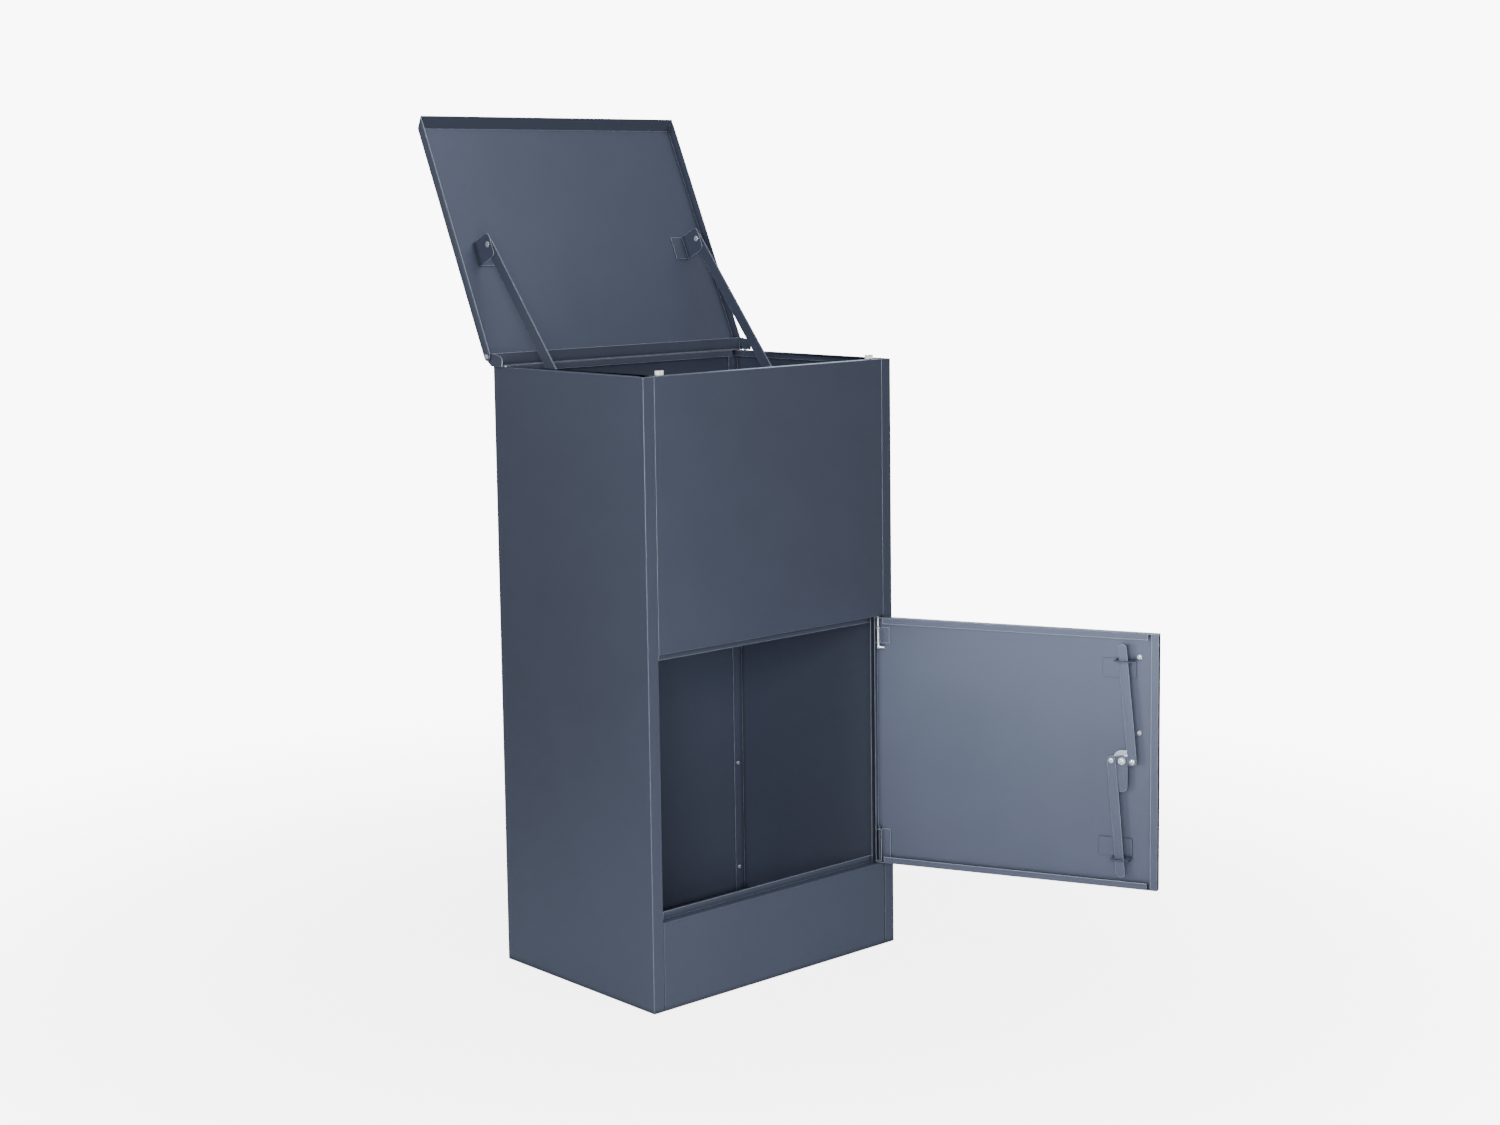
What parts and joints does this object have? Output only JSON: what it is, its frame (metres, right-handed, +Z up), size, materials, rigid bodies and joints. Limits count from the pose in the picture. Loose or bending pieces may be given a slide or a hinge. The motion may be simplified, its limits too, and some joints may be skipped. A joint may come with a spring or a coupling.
{
  "type": "parcel drop box",
  "caption": "Sheet-steel parcel drop box with a hinged drop lid, linked inner flap, and a side-hung door with a three-point rod lock.",
  "frame": {"origin": "ground contact under the cabinet body's centre, on the foot channel of the floor panel", "axes": "+Z up, -Y out of the front, +X to the right as seen from the front"},
  "size_m": [0.7367, 1.0084, 1.4125],
  "materials": {
    "powder_coat": "satin anthracite powder coat",
    "zinc_hardware": "bright zinc plate",
    "soft_stop": "matt light elastomer",
    "lock_core": "nickel plated brass"
  },
  "bodies": {
    "base": {"left_side_panel": "powder_coat", "right_side_panel": "powder_coat", "back_panel": "powder_coat", "upper_front_panel": "powder_coat", "kick_panel": "powder_coat", "floor_panel": "powder_coat", "hinge_rail": "powder_coat", "rear_chute": "powder_coat", "flap_shaft": "zinc_hardware", "lid_bumper_left": "soft_stop", "lid_bumper_right": "soft_stop", "corner_screw_left_1": "zinc_hardware", "corner_screw_left_2": "zinc_hardware", "corner_screw_left_3": "zinc_hardware", "corner_screw_left_4": "zinc_hardware", "corner_screw_left_5": "zinc_hardware", "corner_screw_right_1": "zinc_hardware", "corner_screw_right_2": "zinc_hardware", "corner_screw_right_3": "zinc_hardware", "corner_screw_right_4": "zinc_hardware", "corner_screw_right_5": "zinc_hardware"},
    "lid": {"lid_pan": "powder_coat", "lid_bracket_left": "powder_coat", "lid_bracket_right": "powder_coat", "lid_arm_rivet_left": "zinc_hardware", "lid_arm_rivet_right": "zinc_hardware", "lid_hinge_rivet_left": "zinc_hardware", "lid_hinge_rivet_right": "zinc_hardware"},
    "arm_left": {"lid_arm_left": "powder_coat"},
    "arm_right": {"lid_arm_right": "powder_coat"},
    "flap": {"drop_flap": "powder_coat", "flap_pivot_left": "zinc_hardware", "flap_pivot_right": "zinc_hardware"},
    "door": {"door_pan": "powder_coat", "door_bracket_top": "powder_coat", "door_bracket_bottom": "powder_coat", "hinge_pin_bottom": "zinc_hardware", "lock_cylinder": "zinc_hardware", "lock_nut": "zinc_hardware", "stop_washer": "zinc_hardware", "pull_handle": "zinc_hardware", "handle_screw_top": "zinc_hardware", "handle_screw_bottom": "zinc_hardware", "upper_rod_guide": "powder_coat", "lower_rod_guide": "powder_coat"},
    "cam": {"cam_plate": "powder_coat", "lock_plug": "lock_core", "cam_screw": "zinc_hardware", "cam_rivet_upper": "zinc_hardware", "cam_rivet_lower": "zinc_hardware"},
    "rod_up": {"upper_rod": "powder_coat"},
    "rod_down": {"lower_rod": "powder_coat"},
    "hinge_pin": {"hinge_pin_top": "zinc_hardware"}
  },
  "joints": [
    {"name": "lid_hinge", "type": "hinge", "parent": "base", "child": "lid", "pos_m": [0, 0.1995, 1.016], "axis": [1, 0, 0], "range_deg": [0, 117]},
    {"name": "arm_left_pivot", "type": "hinge", "parent": "lid", "child": "arm_left", "pos_m": [-0.22735, 0.2508, 1.19796], "axis": [1, 0, 0], "range_deg": [-117, 0]},
    {"name": "arm_right_pivot", "type": "hinge", "parent": "lid", "child": "arm_right", "pos_m": [0.22785, 0.2508, 1.19796], "axis": [1, 0, 0], "range_deg": [-117, 0]},
    {"name": "flap_hinge", "type": "hinge", "parent": "base", "child": "flap", "pos_m": [0, 0.01242, 0.78662], "axis": [1, 0, 0], "range_deg": [0, 117]},
    {"name": "door_hinge", "type": "hinge", "parent": "base", "child": "door", "pos_m": [0.238, -0.1878, 0.1437], "axis": [0, 0, -1], "range_deg": [0, 114.9]},
    {"name": "lock_turn", "type": "hinge", "parent": "door", "child": "cam", "pos_m": [0.40334, -0.57795, 0.3574], "axis": [-0.907, -0.421, 0], "range_deg": [0, 90]},
    {"name": "upper_rod_pivot", "type": "hinge", "parent": "cam", "child": "rod_up", "pos_m": [0.40851, -0.59457, 0.3574], "axis": [-0.907, -0.421, 0], "range_deg": [-95.4, 0]},
    {"name": "lower_rod_pivot", "type": "hinge", "parent": "cam", "child": "rod_down", "pos_m": [0.39399, -0.56328, 0.3574], "axis": [-0.907, -0.421, 0], "range_deg": [-95, 0]},
    {"name": "hinge_pin_slide", "type": "slide", "parent": "door", "child": "hinge_pin", "axis": [0, 0, -1], "range_m": [0, 0.01]}
  ],
  "couplings": [
    {"joint": "arm_left_pivot", "follows": "lid_hinge", "ratio": -1},
    {"joint": "arm_right_pivot", "follows": "lid_hinge", "ratio": -1},
    {"joint": "flap_hinge", "follows": "lid_hinge", "ratio": 1},
    {"joint": "upper_rod_pivot", "follows": "lock_turn", "ratio": -1.0598},
    {"joint": "lower_rod_pivot", "follows": "lock_turn", "ratio": -1.0544}
  ]
}
